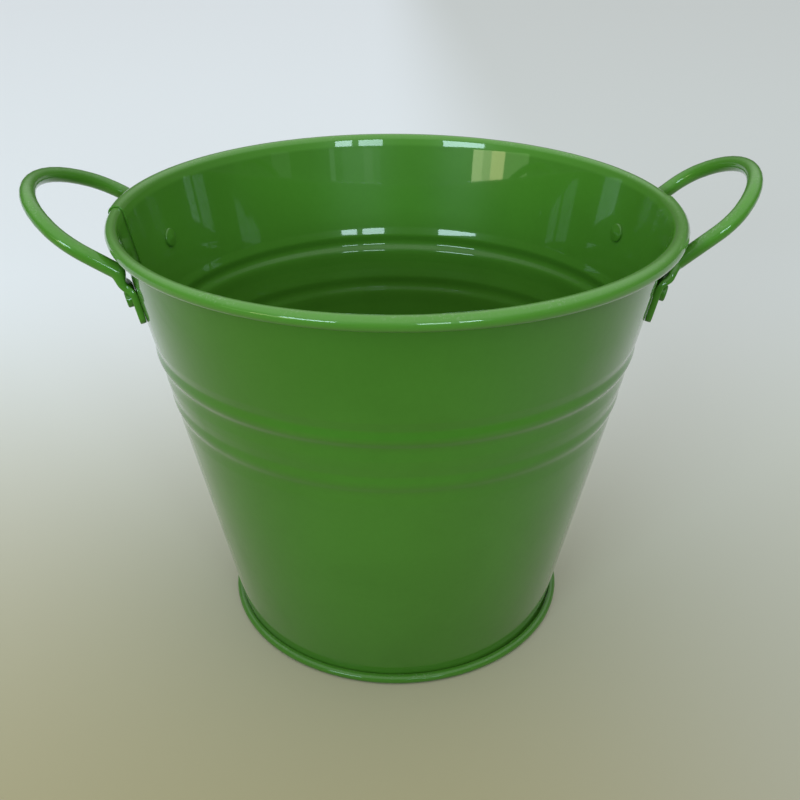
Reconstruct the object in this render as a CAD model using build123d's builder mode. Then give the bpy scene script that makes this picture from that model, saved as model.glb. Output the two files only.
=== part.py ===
from build123d import *
from math import asin, atan2, cos, degrees, hypot, radians, sin, tan
import os

# A small enamelled steel flower bucket: two half shells lapped at the handles, a base pan seamed
# round the foot of the wall, and two wire handles, each held by two rivets.
# Millimetres. +Z is up, the origin is the centre of the ring it stands on, and the handles are on
# the X axis, so the front half is on the -Y side.

# ---- Sheet and wall ----
sheet = 0.4                   # painted thickness of the shells and the base pan
rim_radius = 77.4             # outside of the rolled rim
rim_height = 125.7            # top of the rolled rim above the floor
curl_radius = 1.9             # outside of the rolled rim's own round section
curl_turn = 308.0             # degrees that the sheet turns in the rim's curl
wall_foot_radius = 49.1       # outside of the wall where its line meets the floor

# ---- Stiffening beads, pressed outwards between two shallow dips ----
bead_drops = (49.6, 35.5)     # from the top of the rim down to the middle of each bead
bead_strengths = (0.6, 1.0)   # the lower bead is pressed less deep
# Each corner of a bead's section: up from its middle, and out from the plain wall.
bead_shape = ((-6.5, 0), (-3.6, -0.28), (-2.3, -0.28), (-0.5, 0.36), (0.7, 0.36), (2.7, -0.3), (5.4, 0))
bead_bend_radius = 2.5

# ---- Side seams ----
lap_angle = 1.8               # degrees that each shell runs past the X axis
lap_gap = 0.12                # paint between the two lapped sheets
curl_end_gap = 0.25           # degrees between the ends of the two rolled rims, and of the feet
notch_overrun = 1.0           # degrees that the notch cutters run past a shell's edge
cutter_room = 6.0             # how far a cutter reaches to each side of the wall

# ---- Base pan and its seam ----
seam_radius = 51.8            # outside of the seam ring
seam_height = 2.6             # height of the seam ring
pan_recess = 4.4              # the pan's floor above the surface that the bucket stands on
pan_bend_radius = 1.2         # inside the bend at the pan's edge
seam_fit_gap = 0.08           # between the pan and the shells that it holds
foot_bend_radius = 0.5        # middle of the bend at the foot of the wall

# ---- Wire handles ----
wire_diameter = 4.2
loop_reach = 22.6             # wire centre, from the loop's hinge line to its outer end
loop_clearance = 0.6          # between the outside of the rim and that hinge line
loop_hinge_drop = 5.5         # from the top of the rim down to the leg at that hinge line
loop_crown = 3.3              # how far the outer end bows out beyond the loop's corners
loop_crown_half_width = 6.4   # the corners' centres from the middle of the handle
leg_inset = 7.0               # how far a leg runs back under the rim to its bend
# The handles are bent by hand, so each has its own half width, rise in degrees, sway sideways, and
# reach of its tabs below the rivets.
loop_half_widths = {"handle_right": 21.1, "handle_left": 25.3}
loop_tilts = {"handle_right": 38.7, "handle_left": 31.4}
loop_sways = {"handle_right": 0.3, "handle_left": -1.1}
tabs_below_rivet = {"handle_right": 8.4, "handle_left": 7.0}

# ---- Flattened ends of the wire ----
tab_thickness = 1.7
tab_width = 7.4
tab_corner_radius = 2.4
tab_above_rivet = 2.8         # from the rivet's centre up to where the wire leaves the wall
tab_gap = 0.05                # paint between the tab and the wall
# The neck between tab and leg: up the wall from the tab, out from the wall as a share of the leg's
# own distance out, width, thickness, and the degrees that the wire leans away from the wall there.
neck_sections = ((0.5, 0.52, 6.8, 1.9, 40), (1.9, 0.72, 5.8, 2.1, 16), (3.5, 0.86, 4.7, 2.4, 28))
neck_rounding = 0.49          # corner radius of those sections, as a share of their thickness
neck_root = 0.4               # how far each end of the neck runs inside the tab and the leg
neck_root_inset = 0.06        # how much thinner it is there

# ---- Rivets ----
rivet_half_spacing = 22.5     # from the handle's middle out to each rivet
rivet_drop = 17.1             # from the top of the rim down to the rivets
rivet_shank_diameter = 3.0
rivet_hole_gap = 0.05         # round the shank
rivet_seat_gap = 0.08         # under each head, where a flat head meets the curved wall
rivet_outer_head_diameter = 4.4
rivet_outer_head = 1.4
rivet_inner_head_diameter = 5.5
rivet_inner_head = 1.1
rivet_inner_head_edge = 0.6   # upright edge of the inner head, below its dome

# ---- Worked out from the sizes above ----
rivet_height = rim_height - rivet_drop
loop_hinge_height = rim_height - loop_hinge_drop
# The wall leans out so that it runs straight into the rim's curl.
curl_centre_radius = rim_radius - curl_radius
curl_centre_height = rim_height - curl_radius
curl_line_radius = curl_radius - sheet / 2
foot_to_curl = curl_centre_radius - wall_foot_radius
slope = (atan2(foot_to_curl, curl_centre_height)
         - asin((curl_radius - sheet) / hypot(foot_to_curl, curl_centre_height)))
lap_shift = (sheet + lap_gap) / 2 / cos(slope)


def wall_radius(height):
    """Outside of the plain wall at a height, beads left out."""
    return wall_foot_radius + height * tan(slope)


def wall_line_point(height, rise=0.0):
    """A point of the sheet's middle line, a rise outwards from the plain wall."""
    middle = -sheet / 2 + rise
    return (wall_radius(height) + middle * cos(slope), height - middle * sin(slope))


def radial_plane(angle, centre_x=0.0):
    """The upright plane through the axis at an angle, with its own X pointing outwards."""
    a = radians(angle)
    return Plane(origin=(centre_x, 0, 0), x_dir=(cos(a), sin(a), 0), z_dir=(sin(a), -cos(a), 0))


def shell_shift(angle):
    """How far along X the shell on this side of the bucket is centred."""
    return lap_shift if sin(radians(angle)) > 0 else -lap_shift


def wall_normal_plane(angle, height):
    """A plane on the outside of the wall, facing out, with its own Y pointing up the wall."""
    a = radians(angle)
    outward = Vector(cos(a) * cos(slope), sin(a) * cos(slope), -sin(slope))
    across = Vector(-sin(a), cos(a), 0)
    radius = wall_radius(height)
    point = Vector(shell_shift(angle) + radius * cos(a), radius * sin(a), height)
    return Plane(origin=point, x_dir=across, z_dir=outward)


rivet_angle = degrees(asin(rivet_half_spacing / wall_radius(rivet_height)))


def rivet_angles(side_angle):
    """The two rivets of the handle at this angle."""
    return (side_angle - rivet_angle, side_angle + rivet_angle)


os.makedirs("parts", exist_ok=True)

# ---- Half shells ----
# One profile: the foot turned out into the base seam, the wall with its two beads, and the curl.
flange_height = seam_height / 2
flange_radius = seam_radius - sheet - lap_shift - seam_fit_gap - sheet
shell_points = [(flange_radius, flange_height), wall_line_point(flange_height)]
for drop, strength in zip(bead_drops, bead_strengths):
    for step, rise in bead_shape:
        shell_points.append(wall_line_point(rim_height - drop + step * cos(slope), rise * strength))
curl_start = 180 - degrees(slope)
shell_points.append((curl_centre_radius + curl_line_radius * cos(radians(curl_start)),
                     curl_centre_height + curl_line_radius * sin(radians(curl_start))))
shell_bends = [foot_bend_radius] + [bead_bend_radius] * (len(bead_shape) * len(bead_drops))

# Each shell is centred half a lap to one side, so one of its edges slips inside the other shell
# and its other edge stays outside. The outer edge is notched clear of the inner edge's curl, and
# the inner edge is notched clear of the outer edge's foot.
lap_top = rim_height - 2 * curl_radius - seam_fit_gap
lap_foot = flange_height + sheet / 2 + foot_bend_radius
for name, start_angle, shift in (("body_front_half", 180 - lap_angle, -lap_shift),
                                 ("body_back_half", -lap_angle, lap_shift)):
    shell_axis = Axis((shift, 0, 0), (0, 0, 1))
    with BuildPart() as shell:
        with BuildSketch(radial_plane(start_angle, shift)):
            with BuildLine():
                FilletPolyline(*shell_points, radius=shell_bends)
                CenterArc((curl_centre_radius, curl_centre_height), curl_line_radius,
                          curl_start, -curl_turn)
            trace(line_width=sheet)
        revolve(axis=shell_axis, revolution_arc=180 + 2 * lap_angle)
        with BuildSketch(radial_plane(start_angle - notch_overrun, shift)):
            with Locations((curl_centre_radius, lap_top)):
                Rectangle(2 * cutter_room, 2 * cutter_room, align=(Align.CENTER, Align.MIN))
        revolve(axis=shell_axis, mode=Mode.SUBTRACT,
                revolution_arc=notch_overrun + 2 * lap_angle + curl_end_gap)
        with BuildSketch(radial_plane(start_angle + 180 - curl_end_gap, shift)):
            with Locations((wall_foot_radius, lap_foot)):
                Rectangle(2 * cutter_room, 2 * cutter_room, align=(Align.CENTER, Align.MAX))
        revolve(axis=shell_axis, mode=Mode.SUBTRACT,
                revolution_arc=curl_end_gap + 2 * lap_angle + notch_overrun)
        for side_angle in (0, 180):
            for angle in rivet_angles(side_angle):
                on_front = sin(radians(angle)) < 0
                if on_front == (name == "body_front_half"):
                    with BuildSketch(wall_normal_plane(angle, rivet_height)):
                        Circle(rivet_shank_diameter / 2 + rivet_hole_gap)
                    extrude(amount=cutter_room, both=True, mode=Mode.SUBTRACT)
    shell.part.label = name
    export_step(shell.part, f"parts/{name}.step")

# ---- Base pan ----
# A raised floor, a skirt inside the wall, and an edge folded out under the foot and back over it.
skirt_room = lap_shift + sheet + seam_fit_gap + sheet / 2
skirt_foot = wall_line_point(sheet / 2)[0] - skirt_room
skirt_top = wall_line_point(pan_recess)[0] - skirt_room
seam_bend = (seam_height - sheet) / 2
fold_radius = seam_radius - sheet / 2 - seam_bend
lip_radius = wall_radius(seam_height) + lap_shift + seam_fit_gap
with BuildPart() as base_pan:
    with BuildSketch(Plane.XZ):
        with BuildLine():
            FilletPolyline((0, pan_recess - sheet / 2), (skirt_top, pan_recess - sheet / 2),
                           (skirt_foot, sheet / 2), (fold_radius, sheet / 2),
                           radius=[pan_bend_radius, foot_bend_radius])
            CenterArc((fold_radius, seam_height / 2), seam_bend, -90, 180)
            Line((fold_radius, seam_height - sheet / 2), (lip_radius, seam_height - sheet / 2))
        trace(line_width=sheet)
    revolve(axis=Axis.Z)
base_pan.part.label = "base_pan"
export_step(base_pan.part, "parts/base_pan.step")

# ---- Handles ----
# Both are made for +X, where the loop lies in a plane that rises away from the rim, and the left
# one is then turned round. The loop's outer end is an arc that both corner arcs run into.
hinge_radius = rim_radius + loop_clearance
for name, side_angle in (("handle_right", 0), ("handle_left", 180)):
    half_width = loop_half_widths[name]
    tilt = radians(loop_tilts[name])
    corner_radius = half_width - loop_crown_half_width
    straight_end = loop_reach - loop_crown - corner_radius
    end_radius = (((corner_radius + loop_crown)**2 - corner_radius**2 + loop_crown_half_width**2)
                  / (2 * loop_crown))
    end_centre = loop_reach - end_radius
    join_angle = degrees(atan2(loop_crown_half_width, straight_end - end_centre))
    loop_plane = Plane(origin=(hinge_radius, loop_sways[name], loop_hinge_height),
                       x_dir=(cos(tilt), 0, sin(tilt)), z_dir=(-sin(tilt), 0, cos(tilt)))
    with BuildPart() as handle:
        with BuildLine(loop_plane) as wire:
            Line((-leg_inset, -half_width), (straight_end, -half_width))
            CenterArc((straight_end, -loop_crown_half_width), corner_radius, -90, 90 - join_angle)
            CenterArc((end_centre, 0), end_radius, -join_angle, 2 * join_angle)
            CenterArc((straight_end, loop_crown_half_width), corner_radius,
                      join_angle, 90 - join_angle)
            Line((straight_end, half_width), (-leg_inset, half_width))
        leg_ends = [loop_plane.from_local_coords(Vector(-leg_inset, across, 0))
                    for across in (-half_width, half_width)]
        with BuildSketch(Plane(origin=leg_ends[0], x_dir=(0, 1, 0), z_dir=loop_plane.x_dir)):
            Circle(wire_diameter / 2)
        sweep(path=wire.line)
        for angle, leg_end in zip(rivet_angles(0), leg_ends):
            tab_plane = wall_normal_plane(angle, rivet_height).offset(tab_gap)
            with BuildSketch(tab_plane) as tab:
                with Locations((0, tab_above_rivet)):
                    Rectangle(tab_width, tab_above_rivet + tabs_below_rivet[name],
                              align=(Align.CENTER, Align.MAX))
                fillet(tab.vertices().group_by(Axis.Z)[0], radius=tab_corner_radius)
                Circle(rivet_shank_diameter / 2 + rivet_hole_gap, mode=Mode.SUBTRACT)
            extrude(amount=tab_thickness)
            # the neck, from inside the flat tab through two stages to inside the round wire
            root_size = wire_diameter - neck_root_inset
            leg_out = tab_plane.to_local_coords(leg_end).Z
            stages = [(-neck_root, tab_thickness / 2 / leg_out, tab_width - neck_root_inset,
                       tab_thickness - neck_root_inset, 0), *neck_sections]
            for up, out_share, width, thickness, lean in stages:
                centre = tab_plane.from_local_coords(
                    Vector(0, tab_above_rivet + up, leg_out * out_share))
                way = tab_plane.y_dir.rotate(Axis((0, 0, 0), tab_plane.x_dir), lean)
                with BuildSketch(Plane(origin=centre, x_dir=tab_plane.x_dir, z_dir=way)):
                    RectangleRounded(width, thickness, thickness * neck_rounding)
            with BuildSketch(Plane(origin=leg_end + loop_plane.x_dir * neck_root,
                                   x_dir=(0, 1, 0), z_dir=loop_plane.x_dir)):
                RectangleRounded(root_size, root_size, root_size * neck_rounding)
            loft(ruled=True)
    placed = handle.part.rotate(Axis.Z, side_angle)
    placed.label = name
    export_step(placed, f"parts/{name}.step")

# ---- Rivets ----
# A flat head outside on the tab, a shank through tab and wall, and a low dome inside.
shank_radius = rivet_shank_diameter / 2
outer_head_radius = rivet_outer_head_diameter / 2
inner_head_radius = rivet_inner_head_diameter / 2
tab_face = tab_gap + tab_thickness + rivet_seat_gap
inside_face = -sheet - rivet_seat_gap
dome_foot = inside_face - rivet_inner_head_edge
dome_top = inside_face - rivet_inner_head
dome_rise = dome_foot - dome_top
dome_radius = (inner_head_radius**2 + dome_rise**2) / (2 * dome_rise)
for name, angle in (("rivet_right_front", -rivet_angle), ("rivet_right_back", rivet_angle),
                    ("rivet_left_front", 180 + rivet_angle), ("rivet_left_back", 180 - rivet_angle)):
    seat = wall_normal_plane(angle, rivet_height)
    with BuildPart() as rivet:
        with BuildSketch(Plane(origin=seat.origin, x_dir=seat.x_dir, z_dir=-seat.y_dir)):
            with BuildLine():
                Polyline((0, dome_top), (0, tab_face + rivet_outer_head),
                         (outer_head_radius, tab_face + rivet_outer_head),
                         (outer_head_radius, tab_face), (shank_radius, tab_face),
                         (shank_radius, inside_face), (inner_head_radius, inside_face),
                         (inner_head_radius, dome_foot))
                RadiusArc((inner_head_radius, dome_foot), (0, dome_top), dome_radius)
            make_face()
        revolve(axis=Axis(seat.origin, seat.z_dir))
    rivet.part.label = name
    export_step(rivet.part, f"parts/{name}.step")
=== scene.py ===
from math import asin, atan2, cos, hypot, pi, radians, sin, tan

import bmesh
import bpy
from mathutils import Matrix, Vector
from mathutils.geometry import interpolate_bezier


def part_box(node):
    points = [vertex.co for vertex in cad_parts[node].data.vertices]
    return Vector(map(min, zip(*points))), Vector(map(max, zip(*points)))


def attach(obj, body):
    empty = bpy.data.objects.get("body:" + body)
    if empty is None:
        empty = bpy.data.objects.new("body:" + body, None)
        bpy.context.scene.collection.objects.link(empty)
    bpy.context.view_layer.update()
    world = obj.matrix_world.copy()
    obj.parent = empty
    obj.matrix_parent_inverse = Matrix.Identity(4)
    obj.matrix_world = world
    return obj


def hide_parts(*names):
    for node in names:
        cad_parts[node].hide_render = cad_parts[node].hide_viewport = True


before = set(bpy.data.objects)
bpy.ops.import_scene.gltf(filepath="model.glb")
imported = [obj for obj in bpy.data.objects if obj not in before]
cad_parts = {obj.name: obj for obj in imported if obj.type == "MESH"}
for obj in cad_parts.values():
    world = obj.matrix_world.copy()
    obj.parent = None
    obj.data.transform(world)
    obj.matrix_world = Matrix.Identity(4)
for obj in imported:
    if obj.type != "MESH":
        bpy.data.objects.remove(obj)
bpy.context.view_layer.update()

# A small enamelled steel flower bucket. Metres, +Z up, handles on the X axis, front on the -Y side.
MM = 0.001

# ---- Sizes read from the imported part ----
RIM_RADIUS = -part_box("body_front_half")[0].y
RIM_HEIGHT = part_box("body_front_half")[1].z
SEAM_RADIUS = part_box("base_pan")[1].x
PAN_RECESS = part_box("base_pan")[1].z

# ---- Sheet and wall ----
SHEET = 0.4 * MM
CURL_RADIUS = 1.9 * MM
CURL_TURN = radians(308)
WALL_FOOT_RADIUS = 49.1 * MM
CURL_CENTRE = Vector((RIM_RADIUS - CURL_RADIUS, 0, RIM_HEIGHT - CURL_RADIUS))
SLOPE = (atan2(CURL_CENTRE.x - WALL_FOOT_RADIUS, CURL_CENTRE.z)
         - asin((CURL_RADIUS - SHEET) / hypot(CURL_CENTRE.x - WALL_FOOT_RADIUS, CURL_CENTRE.z)))

# ---- Beads, pressed outwards between two shallow dips ----
BEAD_DROPS = ((49.6 * MM, 0.6), (35.5 * MM, 1.0))     # rim to bead, and how deep the bead is pressed
# up the wall from the bead's middle, and out from the plain wall, in millimetres
BEAD_SHAPE = ((-6.5, 0), (-3.6, -0.28), (-2.3, -0.28), (-0.5, 0.36), (0.7, 0.36), (2.7, -0.3), (5.4, 0))
BEAD_SOFTNESS = 0.5 * MM          # how far each of a bead's bends reaches along the sheet

# ---- Side seams ----
LAP_STEP = 0.26 * MM              # how far each sheet stands off the middle of the lap
LEFT_LAP = radians(0.9)           # how far the back half reaches past the X axis, inside the front half
RIGHT_LAP = radians(2.7)          # how far the front half reaches past it, inside the back half
OUTER_LAP = radians(2)            # how far each half reaches past it where it lies outside the other

# ---- Base seam ----
SEAM_HEIGHT = 2.6 * MM
SEAM_GAP = 0.08 * MM              # between the sheets that are folded together
FLANGE_RADIUS = SEAM_RADIUS - 2 * SHEET - LAP_STEP - SEAM_GAP
FOOT_BEND = 0.5 * MM
PAN_BEND = 1.2 * MM
PAN_FIT = LAP_STEP + 1.5 * SHEET + SEAM_GAP     # from the wall's outside to the middle of the skirt
LIP_GAP = LAP_STEP + SEAM_GAP
CUT_EDGE_ROUND = 0.09 * MM        # the enamel's round over a sheet's cut edge

# ---- Wire handles ----
WIRE = 4.2 * MM
LOOP_REACH = 22.6 * MM
HINGE_RADIUS = RIM_RADIUS + 0.6 * MM
HINGE_DROP = 5.5 * MM
LOOP_CROWN = 3.3 * MM
CROWN_HALF_WIDTH = 6.4 * MM
LEG_INSET = 7 * MM
# half width, rise in degrees, sway sideways, and how far the tabs reach below the rivets
HANDLES = {"handle_right": (21.1 * MM, 38.7, 0.3 * MM, 8.4 * MM),
           "handle_left": (25.3 * MM, 31.4, -1.1 * MM, 7.0 * MM)}
TAB_THICKNESS = 1.7 * MM
TAB_WIDTH = 7.4 * MM
TAB_CORNER = 2.4 * MM
TAB_GAP = 0.05 * MM
JOGGLE_START = 1.7 * MM           # up the tab from the rivet, where the wire starts to leave the wall
JOGGLE_END = 4.7 * MM             # where it runs nearly along the wall again, further out
JOGGLE_OUT = 0.72                 # how far out that is, as a share of the leg's own distance
JOGGLE_LEAN = radians(16)
JOGGLE_TURNED = 0.4               # share of the turn from the tab's way across to the loop's, by there
JOGGLE_WIDTH = 5.6 * MM
JOGGLE_THICKNESS = 2.1 * MM

# ---- Rivets ----
RIVET_HALF_SPACING = 22.5 * MM
RIVET_DROP = 17.1 * MM
RIVET_HEIGHT = RIM_HEIGHT - RIVET_DROP
SHANK_RADIUS = 1.5 * MM
OUTER_HEAD = (2.2 * MM, 1.4 * MM)           # radius and height
INNER_HEAD = (2.75 * MM, 1.1 * MM)
INNER_HEAD_EDGE = 0.6 * MM
OUTER_HEAD_CROWN = 0.12 * MM
OUTER_HEAD_ROUND = 0.4 * MM
INNER_HEAD_ROUND = 0.35 * MM
HEAD_GAP = 0.08 * MM

# ---- How finely round shapes are divided ----
SHELL_STEPS = 160                 # round each half shell
PAN_STEPS = 288
CURL_STEPS = 30
FOLD_STEPS = 18
WIRE_SIDES = 28
RIVET_STEPS = 48
PROFILE_STEP = 2.6 * MM           # longest stretch of a sheet's profile between two rings
RIVET_PROFILE_STEP = 0.5 * MM
WELD = 0.001 * MM                 # points nearer than this are one point


def wall_radius(height):
    """Outside of the plain wall at a height, beads left out."""
    return WALL_FOOT_RADIUS + height * tan(SLOPE)


def wall_line_point(height, rise=0.0):
    """A point of the sheet's middle line, a rise outwards from the plain wall."""
    middle = rise - SHEET / 2
    return Vector((wall_radius(height) + middle * cos(SLOPE), 0, height - middle * sin(SLOPE)))


RIVET_ANGLE = asin(RIVET_HALF_SPACING / wall_radius(RIVET_HEIGHT))


# ==== Node groups that more than one finish uses ====

def link(tree, from_socket, to_socket):
    tree.links.new(from_socket, to_socket)


def feed(tree, value, socket):
    """Sets a socket to a number or a colour, or links another socket to it."""
    if isinstance(value, (int, float, tuple)):
        socket.default_value = value
    else:
        link(tree, value, socket)


def new_group(name, inputs, outputs):
    """A shader node group with named sockets: inputs are (name, type, default)."""
    group = bpy.data.node_groups.new(name, "ShaderNodeTree")
    for socket_name, kind, default in inputs:
        socket = group.interface.new_socket(socket_name, in_out="INPUT", socket_type="NodeSocket" + kind)
        if default is not None:
            socket.default_value = default
    for socket_name, kind in outputs:
        group.interface.new_socket(socket_name, in_out="OUTPUT", socket_type="NodeSocket" + kind)
    return group, group.nodes.new("NodeGroupInput"), group.nodes.new("NodeGroupOutput")


def noise(tree, place, scale, detail=2.0, roughness=0.5, distortion=0.0):
    node = tree.nodes.new("ShaderNodeTexNoise")
    node.inputs["Scale"].default_value = scale
    node.inputs["Detail"].default_value = detail
    node.inputs["Roughness"].default_value = roughness
    node.inputs["Distortion"].default_value = distortion
    link(tree, place, node.inputs["Vector"])
    return node.outputs["Fac"]


def maths(tree, operation, *values):
    """A Math node: each value is a number or a socket."""
    node = tree.nodes.new("ShaderNodeMath")
    node.operation = operation
    for socket, value in zip(node.inputs, values):
        feed(tree, value, socket)
    return node.outputs[0]


def times(tree, first, second):
    return maths(tree, "MULTIPLY", first, second)


def plus(tree, first, second):
    return maths(tree, "ADD", first, second)


def ramp(tree, value, low, high):
    """0 below low and 1 above high, smooth between."""
    node = tree.nodes.new("ShaderNodeMapRange")
    node.interpolation_type = "SMOOTHSTEP"
    node.inputs["From Min"].default_value = low
    node.inputs["From Max"].default_value = high
    link(tree, value, node.inputs["Value"])
    return node.outputs["Result"]


def mix_colour(tree, share, first, second):
    node = tree.nodes.new("ShaderNodeMix")
    node.data_type = "RGBA"
    for name, kind, value in (("Factor", "VALUE", share), ("A", "RGBA", first), ("B", "RGBA", second)):
        feed(tree, value, next(s for s in node.inputs if (s.name, s.type) == (name, kind)))
    return next(s for s in node.outputs if s.type == "RGBA")



def enamel_tone_group():
    """Baked enamel's own colour: soft clouds where the coat is thicker, and a fine mottle."""
    group, given, made = new_group(
        "enamel_tone",
        [("Vector", "Vector", None), ("Enamel", "Color", (0.1, 0.3, 0.04, 1)),
         ("Thick Enamel", "Color", (0.08, 0.25, 0.03, 1)), ("Mottle", "Float", 0.5)],
        [("Color", "Color")])
    clouds = ramp(group, noise(group, given.outputs["Vector"], 34, 3, 0.55, 0.6), 0.32, 0.7)
    grain = ramp(group, noise(group, given.outputs["Vector"], 620, 2, 0.6), 0.25, 0.75)
    share = plus(group, times(group, clouds, 0.65), times(group, grain, 0.35))
    share = times(group, share, given.outputs["Mottle"])
    tone = mix_colour(group, share, given.outputs["Enamel"], given.outputs["Thick Enamel"])
    link(group, tone, made.inputs["Color"])
    return group


def orange_peel_group():
    """The skin of a sprayed and baked coat: a low ripple, and a few dust nibs under it."""
    group, given, made = new_group(
        "orange_peel",
        [("Vector", "Vector", None), ("Ripple", "Float", 1.0), ("Nibs", "Float", 1.0)],
        [("Height", "Float")])
    ripple = noise(group, given.outputs["Vector"], 430, 1.5, 0.45)
    swell = noise(group, given.outputs["Vector"], 95, 1, 0.4)
    cells = group.nodes.new("ShaderNodeTexVoronoi")
    cells.inputs["Scale"].default_value = 130
    cells.inputs["Randomness"].default_value = 1
    link(group, given.outputs["Vector"], cells.inputs["Vector"])
    speck = ramp(group, cells.outputs["Distance"], 0.05, 0.0)
    chosen = ramp(group, noise(group, given.outputs["Vector"], 60, 0, 0.5), 0.6, 0.66)
    skin = times(group, plus(group, times(group, ripple, 0.5), swell), given.outputs["Ripple"])
    nibs = times(group, times(group, speck, chosen), given.outputs["Nibs"])
    link(group, plus(group, skin, nibs), made.inputs["Height"])
    return group


def handling_marks_group():
    """Faint rubbed patches and hairlines from handling, as a mask."""
    group, given, made = new_group(
        "handling_marks", [("Vector", "Vector", None), ("Amount", "Float", 0.5)], [("Mask", "Float")])
    patches = ramp(group, noise(group, given.outputs["Vector"], 48, 4, 0.62, 1.2), 0.56, 0.74)
    stretch = group.nodes.new("ShaderNodeMapping")
    stretch.inputs["Rotation"].default_value = (0.3, 0.5, 0.9)
    stretch.inputs["Scale"].default_value = (1, 14, 1)
    link(group, given.outputs["Vector"], stretch.inputs["Vector"])
    hairlines = ramp(group, noise(group, stretch.outputs["Vector"], 120, 3, 0.7), 0.66, 0.74)
    both = maths(group, "MAXIMUM", times(group, patches, 0.6), times(group, hairlines, patches))
    link(group, times(group, both, given.outputs["Amount"]), made.inputs["Mask"])
    return group


def settled_dust_group():
    """A mask of fine dust on surfaces that face upwards."""
    group, given, made = new_group(
        "settled_dust", [("Vector", "Vector", None), ("Amount", "Float", 0.2)], [("Mask", "Float")])
    facing = group.nodes.new("ShaderNodeSeparateXYZ")
    surface = group.nodes.new("ShaderNodeNewGeometry")
    link(group, surface.outputs["Normal"], facing.inputs[0])
    upward = ramp(group, facing.outputs["Z"], 0.25, 1.0)
    flecks = ramp(group, noise(group, given.outputs["Vector"], 1500, 2, 0.7), 0.5, 0.72)
    drift = ramp(group, noise(group, given.outputs["Vector"], 70, 3, 0.6), 0.35, 0.75)
    mask = times(group, upward, times(group, flecks, drift))
    link(group, times(group, mask, given.outputs["Amount"]), made.inputs["Mask"])
    return group


GROUPS = {make.__name__.removesuffix("_group"): make()
          for make in (enamel_tone_group, orange_peel_group, handling_marks_group, settled_dust_group)}


# ==== Finishes ====

def place_group(tree, name, place, **values):
    """A placed node group with its own values; a value's name has _ for each space."""
    node = tree.nodes.new("ShaderNodeGroup")
    node.node_tree = GROUPS[name]
    link(tree, place, node.inputs["Vector"])
    for key, value in values.items():
        node.inputs[key.replace("_", " ")].default_value = value
    return node


GREEN = (0.061, 0.204, 0.018)
DEEP_GREEN = (0.051, 0.175, 0.014)
# painted sheen: the handles' paler green stands in for the soft sheen over the wire
HANDLE_SHEEN_GREEN = (0.078, 0.245, 0.024)
# painted sheen: a paler green over the rolled rim's top, where overhead light catches it
RIM_SHEEN_GREEN = (0.088, 0.255, 0.031)
DUST = (0.62, 0.62, 0.56)
PEEL_DEPTH = 0.02 * MM
SHEEN_EDGE = 1.2 * MM              # over which the painted sheen fades in towards the rim's top
SHEEN_SHARE = 0.8


def opaque(colour):
    return (*colour, 1)


def baked_enamel(name, colour, thick_colour, mottle, ripple, marks, dust, rough, sheen_above=None):
    """Glossy baked enamel over steel, with a painted sheen that makes it paler above a height where one is
    given.
    """
    material = bpy.data.materials.new(name)
    material.use_nodes = True
    tree = material.node_tree
    shader = tree.nodes["Principled BSDF"]
    place = tree.nodes.new("ShaderNodeTexCoord").outputs["Object"]
    tone = place_group(tree, "enamel_tone", place, Enamel=opaque(colour), Thick_Enamel=opaque(thick_colour),
                       Mottle=mottle)
    peel = place_group(tree, "orange_peel", place, Ripple=ripple, Nibs=0.8)
    rubbed = place_group(tree, "handling_marks", place, Amount=marks).outputs["Mask"]
    dusty = place_group(tree, "settled_dust", place, Amount=dust).outputs["Mask"]
    coat_colour = tone.outputs["Color"]
    if sheen_above:
        split = tree.nodes.new("ShaderNodeSeparateXYZ")
        link(tree, place, split.inputs[0])
        # painted sheen: paler towards the top of the rolled rim
        rim_sheen = times(tree, ramp(tree, split.outputs["Z"], sheen_above, sheen_above + SHEEN_EDGE), SHEEN_SHARE)
        coat_colour = mix_colour(tree, rim_sheen, coat_colour, opaque(RIM_SHEEN_GREEN))
    link(tree, mix_colour(tree, dusty, coat_colour, opaque(DUST)), shader.inputs["Base Color"])
    roughness = plus(tree, times(tree, rubbed, 0.25), plus(tree, times(tree, dusty, 0.5), rough))
    link(tree, roughness, shader.inputs["Roughness"])
    link(tree, maths(tree, "SUBTRACT", 1.0, times(tree, rubbed, 0.5)), shader.inputs["Coat Weight"])
    shader.inputs["Coat Roughness"].default_value = 0.035
    shader.inputs["Coat IOR"].default_value = 1.4
    shader.inputs["IOR"].default_value = 1.48
    shader.inputs["Specular IOR Level"].default_value = 0.1
    bump = tree.nodes.new("ShaderNodeBump")
    bump.inputs["Strength"].default_value = 0.35
    bump.inputs["Distance"].default_value = PEEL_DEPTH
    link(tree, peel.outputs["Height"], bump.inputs["Height"])
    link(tree, bump.outputs["Normal"], shader.inputs["Normal"])
    return material


def shell_enamel():
    """The walls' enamel, with a painted sheen over the rolled rim."""
    return baked_enamel("shell_enamel", GREEN, DEEP_GREEN, mottle=0.7, ripple=1.0, marks=0.5, dust=0.18,
                        rough=0.3, sheen_above=RIM_HEIGHT - 2 * CURL_RADIUS)


def base_enamel():
    """Heavier and more rubbed, where the bucket stands."""
    return baked_enamel("base_enamel", GREEN, DEEP_GREEN, mottle=0.8, ripple=1.2, marks=1.0, dust=0.15,
                        rough=0.34)


def handle_enamel():
    """A paler green, a painted sheen over the wire, rubbed by hands."""
    return baked_enamel("handle_enamel", HANDLE_SHEEN_GREEN, GREEN, mottle=0.8, ripple=0.8, marks=0.8, dust=0.3,
                        rough=0.3)


def rivet_enamel():
    return baked_enamel("rivet_enamel", GREEN, DEEP_GREEN, mottle=0.9, ripple=0.8, marks=0.8, dust=0.2,
                        rough=0.32)


FINISHES = {make.__name__: make() for make in (shell_enamel, base_enamel, handle_enamel, rivet_enamel)}


# ==== Making pieces ====

SHARP_BEND = radians(50)          # faces that meet at more than this keep a sharp edge between them


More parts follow.
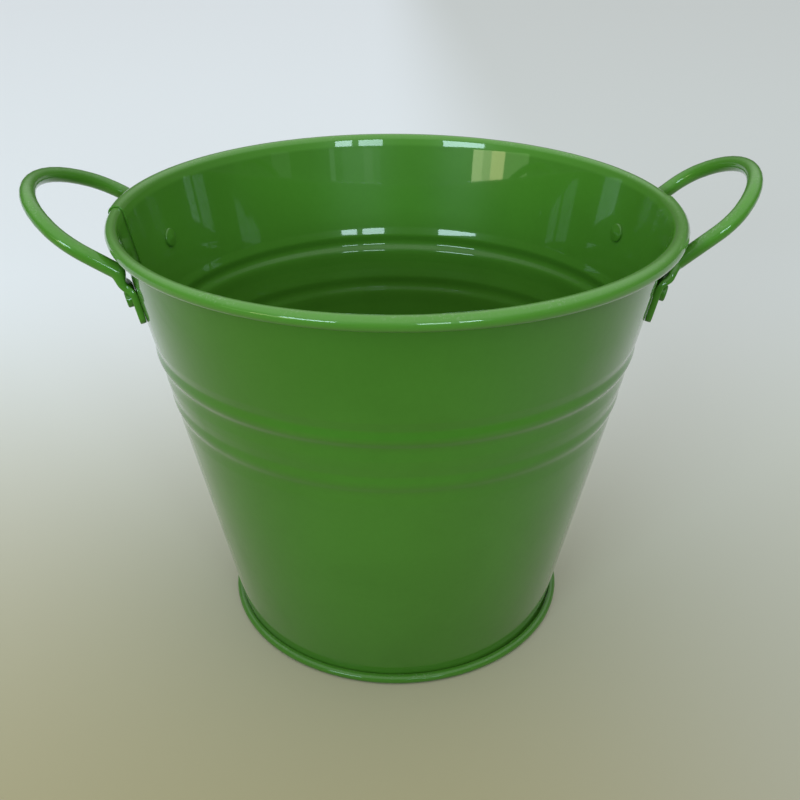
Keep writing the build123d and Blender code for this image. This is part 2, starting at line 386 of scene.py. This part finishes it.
def piece(bm, name, finish, sheet=0.0):
    """Turns a bmesh into the finished piece for a CAD node; a bmesh of faces alone gets its sheet."""
    for face in bm.faces:
        face.smooth = True
    if not sheet:
        for edge in bm.edges:
            edge.smooth = edge.calc_face_angle(0) < SHARP_BEND
    mesh = bpy.data.meshes.new(name + "_enamelled")
    bm.to_mesh(mesh)
    bm.free()
    mesh.materials.append(FINISHES[finish])
    made = bpy.data.objects.new(name + "_enamelled", mesh)
    bpy.context.scene.collection.objects.link(made)
    if sheet:
        wall = made.modifiers.new("sheet thickness", "SOLIDIFY")
        wall.thickness = sheet
        wall.offset = 0
        wall.use_even_offset = True
        edge = made.modifiers.new("enamel over the cut edge", "BEVEL")
        edge.width = CUT_EDGE_ROUND
        edge.segments = 2
        edge.limit_method = "ANGLE"
        edge.angle_limit = radians(55)
        edge.harden_normals = True
    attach(made, "root")
    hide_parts(name)
    return made


def draw_line(bm, points):
    """A chain of edges through the points."""
    corners = [bm.verts.new(p) for p in points]
    for first, second in zip(corners, corners[1:]):
        bm.edges.new((first, second))
    return corners


def round_corners(bm, corners, reach, segments=6):
    bmesh.ops.bevel(bm, geom=corners, offset=reach, offset_type="OFFSET", affect="VERTICES",
                    segments=segments, profile=0.5, material=-1)


def divide_long_edges(bm, longest):
    for edge in [e for e in bm.edges if e.calc_length() > longest]:
        bmesh.ops.subdivide_edges(bm, edges=[edge], cuts=int(edge.calc_length() / longest))


def spin_round(bm, angle, steps):
    """Turns everything drawn so far about the upright axis."""
    full_turn = abs(angle) > 1.999 * pi
    bmesh.ops.spin(bm, geom=bm.verts[:] + bm.edges[:], cent=(0, 0, 0), axis=(0, 0, 1), angle=angle,
                   steps=steps, use_merge=full_turn)
    bmesh.ops.remove_doubles(bm, verts=bm.verts[:], dist=WELD)
    bmesh.ops.recalc_face_normals(bm, faces=bm.faces[:])


# ---- The two half shells, nested one in the other at both seams ----

FLAT = Vector((1, 1, 0))          # times a point, it leaves the way out from the upright axis


def half_shell(name, start, end, right_side):
    """From the flange in the base seam up to the rolled rim.

    right_side is 1 for the half that lies outside at the right seam, and -1 for the one inside it.
    """
    bm = bmesh.new()
    flange_height = SEAM_HEIGHT / 2
    points = [Vector((FLANGE_RADIUS, 0, flange_height)), wall_line_point(flange_height)]
    for drop, strength in BEAD_DROPS:
        for step, rise in BEAD_SHAPE:
            points.append(wall_line_point(RIM_HEIGHT - drop + step * MM * cos(SLOPE), rise * strength * MM))
    inward = Vector((-cos(SLOPE), 0, sin(SLOPE)))
    points.append(CURL_CENTRE + inward * (CURL_RADIUS - SHEET / 2))
    corners = draw_line(bm, points)
    bmesh.ops.spin(bm, geom=[corners[-1]], cent=CURL_CENTRE, axis=(0, 1, 0), angle=CURL_TURN,
                   steps=CURL_STEPS)
    round_corners(bm, corners[1:2], FOOT_BEND, 4)
    round_corners(bm, corners[2:-1], BEAD_SOFTNESS)
    divide_long_edges(bm, PROFILE_STEP)
    bmesh.ops.rotate(bm, verts=bm.verts[:], cent=(0, 0, 0), matrix=Matrix.Rotation(start, 3, "Z"))
    spin_round(bm, end - start, SHELL_STEPS)
    wall_face = max(bm.faces, key=lambda f: f.calc_area())
    if wall_face.normal.dot(wall_face.calc_center_median() * FLAT) < 0:
        bmesh.ops.reverse_faces(bm, faces=bm.faces[:])
    bm.normal_update()
    # each sheet moves off the middle of the lap along its own normal, so the rims nest as sleeves
    for vert in bm.verts:
        vert.co += vert.normal * (LAP_STEP * right_side * (vert.co * FLAT).normalized().x)
    return piece(bm, name, "shell_enamel", SHEET)


# ---- The base pan ----

def base_pan():
    """A recessed floor, a skirt inside the wall, and the fold that makes the seam ring."""
    bm = bmesh.new()
    floor_height = PAN_RECESS - SHEET / 2
    fold_radius = (SEAM_HEIGHT - SHEET) / 2
    fold_centre = Vector((SEAM_RADIUS - SHEET / 2 - fold_radius, 0, SEAM_HEIGHT / 2))
    corners = draw_line(bm, [
        Vector((0, 0, floor_height)),
        Vector((wall_line_point(PAN_RECESS).x - PAN_FIT, 0, floor_height)),
        Vector((wall_line_point(SHEET / 2).x - PAN_FIT, 0, SHEET / 2)),
        fold_centre - Vector((0, 0, fold_radius))])
    bmesh.ops.spin(bm, geom=[corners[-1]], cent=fold_centre, axis=(0, 1, 0), angle=-pi,
                   steps=FOLD_STEPS)
    bm.verts.ensure_lookup_table()
    fold_end = max((v for v in bm.verts if len(v.link_edges) == 1), key=lambda v: v.co.x)
    lip = bmesh.ops.extrude_vert_indiv(bm, verts=[fold_end])["verts"]
    lip_radius = wall_radius(SEAM_HEIGHT) + LIP_GAP
    bmesh.ops.translate(bm, verts=lip, vec=(lip_radius - fold_end.co.x, 0, 0))
    round_corners(bm, corners[1:2], PAN_BEND)
    round_corners(bm, corners[2:3], FOOT_BEND, 4)
    divide_long_edges(bm, 2 * PROFILE_STEP)
    spin_round(bm, 2 * pi, PAN_STEPS)
    return piece(bm, "base_pan", "base_enamel", SHEET)


# ---- The handles, each one length of wire with pressed ends ----

class Place:
    """A rivet's place on the outside of the wall, with the ways out from it, up the wall and across."""

    def __init__(self, angle):
        self.out = Vector((cos(angle) * cos(SLOPE), sin(angle) * cos(SLOPE), -sin(SLOPE)))
        self.across = Vector((-sin(angle), cos(angle), 0))
        self.up = self.out.cross(self.across)
        shell_shift = LAP_STEP if sin(angle) > 0 else -LAP_STEP
        self.point = Vector((wall_radius(RIVET_HEIGHT) * cos(angle) + shell_shift,
                             wall_radius(RIVET_HEIGHT) * sin(angle), RIVET_HEIGHT))

    def at(self, up, out):
        return self.point + self.up * up + self.out * out


def smooth_step(share):
    return share * share * (3 - 2 * share)


def blend(first, second, share):
    return first + (second - first) * share


def tab_sections(place, below):
    """From the tab's rounded end up to where the wire starts to leave the wall."""
    middle = TAB_GAP + TAB_THICKNESS / 2
    sections = []
    for step in range(9):
        turn = step / 8 * pi / 2
        from_end = TAB_CORNER * (1 - cos(turn))
        width = TAB_WIDTH - 2 * TAB_CORNER * (1 - sin(turn))
        thickness = TAB_THICKNESS * (0.8 + 0.2 * sin(turn))
        sections.append((place.at(from_end - below, middle), place.across, width, thickness))
    sections.append((place.at(0, middle), place.across, TAB_WIDTH, TAB_THICKNESS))
    sections.append((place.at(JOGGLE_START, middle), place.across, TAB_WIDTH, TAB_THICKNESS))
    return sections


def neck_stretch(place, bezier, steps, width, thickness, turned):
    """Sections along a bezier; each of the last three is its value at the start and at the end."""
    path = interpolate_bezier(*bezier, steps + 1)
    sections = []
    for step in range(1, steps + 1):
        share = smooth_step(step / steps)
        across = place.across.lerp(Vector((0, 1, 0)), blend(*turned, step / steps))
        sections.append((path[step], across.normalized(), blend(*width, share), blend(*thickness, share)))
    return sections


def neck_sections(place, leg_end, leg_way):
    """The joggle off the wall, and the stretch where the pressed wire grows round again."""
    leg_out = (leg_end - place.point).dot(place.out)
    leg_up = (leg_end - place.point).dot(place.up)
    aside = (leg_end - place.point).dot(place.across)
    start = place.at(JOGGLE_START, TAB_GAP + TAB_THICKNESS / 2)
    share_up = JOGGLE_END / leg_up
    middle = place.at(JOGGLE_END, leg_out * JOGGLE_OUT) + place.across * aside * share_up * share_up
    middle_way = (place.up * cos(JOGGLE_LEAN) + place.out * sin(JOGGLE_LEAN)
                  + place.across * aside / leg_up).normalized()
    off_the_wall = neck_stretch(
        place, (start, start + place.up * 1.5 * MM, middle - middle_way * 1.1 * MM, middle), 12,
        (TAB_WIDTH, JOGGLE_WIDTH), (TAB_THICKNESS, JOGGLE_THICKNESS), (0.0, JOGGLE_TURNED))
    out_to_the_leg = neck_stretch(
        place, (middle, middle + middle_way * 1.3 * MM, leg_end - leg_way * 1.6 * MM, leg_end), 14,
        (JOGGLE_WIDTH, WIRE), (JOGGLE_THICKNESS, WIRE), (JOGGLE_TURNED, 1.0))
    return off_the_wall + out_to_the_leg


def loop_sections(half_width, tilt, sway):
    """Points from one leg's end to the other's, the way along the legs, and the way square to the loop."""
    along = Vector((cos(tilt), 0, sin(tilt)))
    origin = Vector((HINGE_RADIUS, sway, RIM_HEIGHT - HINGE_DROP))
    corner = half_width - CROWN_HALF_WIDTH
    straight_end = LOOP_REACH - LOOP_CROWN - corner
    end_radius = ((corner + LOOP_CROWN) ** 2 - corner ** 2 + CROWN_HALF_WIDTH ** 2) / (2 * LOOP_CROWN)
    end_centre = LOOP_REACH - end_radius
    join = atan2(CROWN_HALF_WIDTH, straight_end - end_centre)
    flat = [(-LEG_INSET, -half_width), (blend(-LEG_INSET, straight_end, 0.5), -half_width)]
    for centre_along, centre_across, radius, first, last, steps in (
            (straight_end, -CROWN_HALF_WIDTH, corner, -pi / 2, -join, 22),
            (end_centre, 0, end_radius, -join, join, 14),
            (straight_end, CROWN_HALF_WIDTH, corner, join, pi / 2, 22)):
        for step in range(steps):
            turn = blend(first, last, step / steps)
            flat.append((centre_along + radius * cos(turn), centre_across + radius * sin(turn)))
    flat += [(straight_end, half_width), (blend(straight_end, -LEG_INSET, 0.5), half_width),
             (-LEG_INSET, half_width)]
    points = [origin + along * a + Vector((0, b, 0)) for a, b in flat]
    return points, along, Vector((-sin(tilt), 0, cos(tilt)))


PRESSED_FLAT_PART = 0.62          # shares of the round section's width and height that a press makes flat
PRESSED_SIDE_PART = 0.66


def pressed(corner, width, thickness, flatness):
    """A point of a round section of radius 1, moved to where pressing the wire flat puts it."""
    spread = max(-1.0, min(1.0, corner.x / PRESSED_FLAT_PART))
    squared = max(-1.0, min(1.0, corner.y / PRESSED_SIDE_PART))
    return ((corner.x * thickness + spread * (width - thickness)) / 2,
            blend(corner.y, squared, flatness) * thickness / 2)


def wire_ring(bm, section, way, across, outwards):
    """One section of the wire, as a ring square to its way."""
    middle, _, width, thickness = section
    turn = Matrix((across, way.cross(across), way)).transposed()
    flatness = min(1.0, (width / thickness - 1) / 2)
    ring = bmesh.ops.create_circle(bm, cap_ends=False, radius=1, segments=WIRE_SIDES)["verts"]
    for vert in ring:
        x, y = pressed(vert.co, width, thickness, flatness)
        # the flat part is pulled against the wall by its rivet, so it takes up the wall's curve
        pulled = flatness * x * x / (2 * wall_radius(RIVET_HEIGHT))
        vert.co = middle + turn @ Vector((x, y, 0)) - outwards * pulled
    return ring


def join_rings(bm, rings):
    """A closed skin over the rings, with a face across each end."""
    for first, second in zip(rings, rings[1:]):
        open_edges = [e for v in first + second for e in v.link_edges if e.is_wire or e.is_boundary]
        bmesh.ops.bridge_loops(bm, edges=list(dict.fromkeys(open_edges)))
    for ring in (rings[0], rings[-1]):
        bmesh.ops.contextual_create(bm, geom=ring)
    bmesh.ops.recalc_face_normals(bm, faces=bm.faces[:])


def handle(name):
    """Tab, neck, loop, neck and tab, as sections: each its middle, way across, width and thickness."""
    half_width, rise, sway, below = HANDLES[name]
    points, along, square = loop_sections(half_width, radians(rise), sway)
    near = Place(-RIVET_ANGLE)
    far = Place(RIVET_ANGLE)
    sections = tab_sections(near, below) + neck_sections(near, points[0], along)
    sections += [(p, None, WIRE, WIRE) for p in points[1:-1]]
    sections += reversed(neck_sections(far, points[-1], along))
    sections += reversed(tab_sections(far, below))
    bm = bmesh.new()
    rings = []
    last_across = near.across
    for number, section in enumerate(sections):
        before = sections[max(number - 1, 0)][0]
        after = sections[min(number + 1, len(sections) - 1)][0]
        way = (after - before).normalized()
        across = section[1] if section[1] is not None else way.cross(square)
        if across.dot(last_across) < 0:
            across = -across
        last_across = (across - way * across.dot(way)).normalized()
        outwards = near.out if number < len(sections) / 2 else far.out
        rings.append(wire_ring(bm, section, way, last_across, outwards))
    join_rings(bm, rings)
    if name == "handle_left":
        bmesh.ops.rotate(bm, verts=bm.verts[:], cent=(0, 0, 0), matrix=Matrix.Rotation(pi, 3, "Z"))
    return piece(bm, name, "handle_enamel")


# ---- The rivets ----

def rivet(name, angle):
    """A short round head outside on the tab, a shank, and a low domed head inside."""
    place = Place(angle)
    tab_face = TAB_GAP + TAB_THICKNESS
    inside = -SHEET - HEAD_GAP
    bm = bmesh.new()
    outer_radius, outer_height = OUTER_HEAD
    inner_radius, inner_height = INNER_HEAD
    profile = [(0, tab_face + outer_height), (outer_radius, tab_face + outer_height - OUTER_HEAD_CROWN),
               (outer_radius, tab_face), (SHANK_RADIUS, tab_face), (SHANK_RADIUS, inside),
               (inner_radius, inside), (inner_radius, inside - INNER_HEAD_EDGE), (0, inside - inner_height)]
    corners = draw_line(bm, [Vector((r, 0, h)) for r, h in profile])
    round_corners(bm, [corners[1]], OUTER_HEAD_ROUND)
    round_corners(bm, [corners[6]], INNER_HEAD_ROUND)
    divide_long_edges(bm, RIVET_PROFILE_STEP)
    spin_round(bm, 2 * pi, RIVET_STEPS)
    turn = Matrix((place.across, place.up, place.out)).transposed()
    bmesh.ops.rotate(bm, verts=bm.verts[:], cent=(0, 0, 0), matrix=turn)
    bmesh.ops.translate(bm, verts=bm.verts[:], vec=place.point)
    return piece(bm, name, "rivet_enamel")


half_shell("body_front_half", pi - OUTER_LAP, 2 * pi + RIGHT_LAP, right_side=-1)
half_shell("body_back_half", -OUTER_LAP, pi + LEFT_LAP, right_side=1)
base_pan()
for handle_name in HANDLES:
    handle(handle_name)
for rivet_name, rivet_at in (("rivet_right_front", -RIVET_ANGLE), ("rivet_right_back", RIVET_ANGLE),
                             ("rivet_left_front", pi + RIVET_ANGLE), ("rivet_left_back", pi - RIVET_ANGLE)):
    rivet(rivet_name, rivet_at)


# ==== Floor, light and camera ====

def stage_piece(name, bm, material):
    mesh = bpy.data.meshes.new(name)
    bm.to_mesh(mesh)
    bm.free()
    mesh.materials.append(material)
    made = bpy.data.objects.new(name, mesh)
    bpy.context.scene.collection.objects.link(made)
    return made


def floor_painted_shade():
    """Pale, with painted shade: darker and warmer towards the bucket's front, darker to its right, and
    painted dark out of view beneath the camera.
    """
    material = bpy.data.materials.new("floor_painted_shade")
    material.use_nodes = True
    tree = material.node_tree
    shader = tree.nodes["Principled BSDF"]
    split = tree.nodes.new("ShaderNodeSeparateXYZ")
    link(tree, tree.nodes.new("ShaderNodeTexCoord").outputs["Object"], split.inputs[0])
    # painted shade: darker and warmer towards the camera, paler and cooler further back
    away_from_painted_shade = ramp(tree, split.outputs["Y"], -0.15, 0.29)
    colour = mix_colour(tree, away_from_painted_shade, (0.44, 0.395, 0.23, 1), (0.76, 0.79, 0.82, 1))
    # painted shade: darker to the bucket's right
    right_painted_shade = times(tree, ramp(tree, split.outputs["X"], 0.0, 0.14), 0.55)
    colour = mix_colour(tree, right_painted_shade, colour, (0.48, 0.49, 0.45, 1))
    # painted shade: dark beneath the camera, out of view
    near = ramp(tree, split.outputs["Y"], -0.1, -0.26)
    colour = mix_colour(tree, near, colour, (0.14, 0.13, 0.09, 1))
    link(tree, colour, shader.inputs["Base Color"])
    shader.inputs["Roughness"].default_value = 0.9
    shader.inputs["Specular IOR Level"].default_value = 0.1
    return material


def floor():
    bm = bmesh.new()
    bmesh.ops.create_grid(bm, x_segments=1, y_segments=1, size=6)
    stage_piece("floor", bm, floor_painted_shade())


def dark_card():
    material = bpy.data.materials.new("dark_card")
    material.use_nodes = True
    shader = material.node_tree.nodes["Principled BSDF"]
    shader.inputs["Base Color"].default_value = (0.07, 0.07, 0.06, 1)
    shader.inputs["Roughness"].default_value = 0.9
    return material


def low_card():
    """A card behind the camera, not seen by it, that shades the bucket's foot from the windows."""
    half_width = 1.2
    half_height = 0.0675
    distance = 0.4
    bm = bmesh.new()
    bmesh.ops.create_grid(bm, x_segments=1, y_segments=1, size=1)
    bmesh.ops.scale(bm, verts=bm.verts[:], vec=(half_width, half_height, 1))
    bmesh.ops.rotate(bm, verts=bm.verts[:], cent=(0, 0, 0), matrix=Matrix.Rotation(pi / 2, 3, "X"))
    bmesh.ops.translate(bm, verts=bm.verts[:], vec=(0, -distance, half_height))
    stage_piece("low_card", bm, dark_card()).visible_camera = False


# Soft lights outside the room's windows, all one distance away and turned to the bucket. Each has its
# turn from the camera's side in degrees, its width, its power and its colour.
LIGHT_DISTANCE = 1.9
LIGHT_AIM = Vector((0, 0, 90 * MM))
SKY_RISE = 15.8
SKY_HEIGHT = 0.34
SKY = {"left_window": (-33.6, 0.65, 12.0, (0.68, 0.94, 1.0)),
       "right_window_pane": (23.8, 0.26, 4.6, (0.70, 0.95, 1.0)),
       "right_window": (10.9, 0.37, 6.0, (0.70, 0.95, 1.0))}
GARDEN_RISE = 6
GARDEN_HEIGHT = 0.22
GARDEN = ((-40.7, 0.16, 0.78, (0.9, 1.0, 0.55)),
          (-45.3, 0.146, 0.51, (0.88, 1.0, 0.55)),
          (-50.7, 0.215, 1.2, (1.0, 0.98, 0.5)),
          (-60, 0.4, 0.54, (0.7, 1.0, 0.5)),
          (29.6, 0.08, 0.048, (0.7, 1.0, 0.8)),
          (15.5, 0.6, 0.12, (0.7, 1.0, 0.8)),
          (12.2, 0.14, 0.036, (0.8, 1.0, 0.8)),
          (55, 0.3, 0.072, (0.8, 1.0, 0.8)))


def window_light(name, rise, height, turn, width, power, colour):
    light = bpy.data.lights.new(name, "AREA")
    light.shape = "RECTANGLE"
    light.size = width
    light.size_y = height
    light.energy = power
    light.color = colour
    lamp = bpy.data.objects.new(name, light)
    bpy.context.scene.collection.objects.link(lamp)
    way = Vector((sin(radians(turn)) * cos(radians(rise)), -cos(radians(turn)) * cos(radians(rise)),
                  sin(radians(rise))))
    lamp.location = LIGHT_AIM + way * LIGHT_DISTANCE
    lamp.rotation_euler = way.to_track_quat("Z", "Y").to_euler()


def light_windows():
    for name, window in SKY.items():
        window_light(name, SKY_RISE, SKY_HEIGHT, *window)
    for number, strip in enumerate(GARDEN):
        window_light(f"garden_{number}", GARDEN_RISE, GARDEN_HEIGHT, *strip)


def light_room():
    """A broad pale ceiling, darker towards the walls of the room."""
    world = bpy.data.worlds.new("room")
    world.use_nodes = True
    tree = world.node_tree
    split = tree.nodes.new("ShaderNodeSeparateXYZ")
    link(tree, tree.nodes.new("ShaderNodeTexCoord").outputs["Generated"], split.inputs[0])
    upward = ramp(tree, split.outputs["Z"], 0.25, 0.75)
    colour = mix_colour(tree, upward, (0.10, 0.105, 0.095, 1), (1.16, 1.19, 1.2, 1))
    link(tree, colour, tree.nodes["Background"].inputs["Color"])
    bpy.context.scene.world = world


def camera():
    """Above and in front of the bucket, a little to one side, looking down into it."""
    data = bpy.data.cameras.new("camera")
    data.sensor_width = 36
    data.lens = 45.56
    data.clip_start = 0.01
    made = bpy.data.objects.new("camera", data)
    bpy.context.scene.collection.objects.link(made)
    round_bucket = radians(-1.8)
    looking_down = radians(28.5824)
    looking_right = radians(0.2482)
    roll = radians(0.1205)
    stand = Matrix.Translation(Vector((-0.09, -266.97, 210.16)) * MM)
    look = (Matrix.Rotation(-looking_right, 4, "Z") @ Matrix.Rotation(pi / 2 - looking_down, 4, "X")
            @ Matrix.Rotation(roll, 4, "Z"))
    made.matrix_world = Matrix.Rotation(round_bucket, 4, "Z") @ stand @ look
    bpy.context.scene.camera = made


floor()
low_card()
light_windows()
light_room()
camera()
bpy.context.scene.view_settings.view_transform = "Standard"
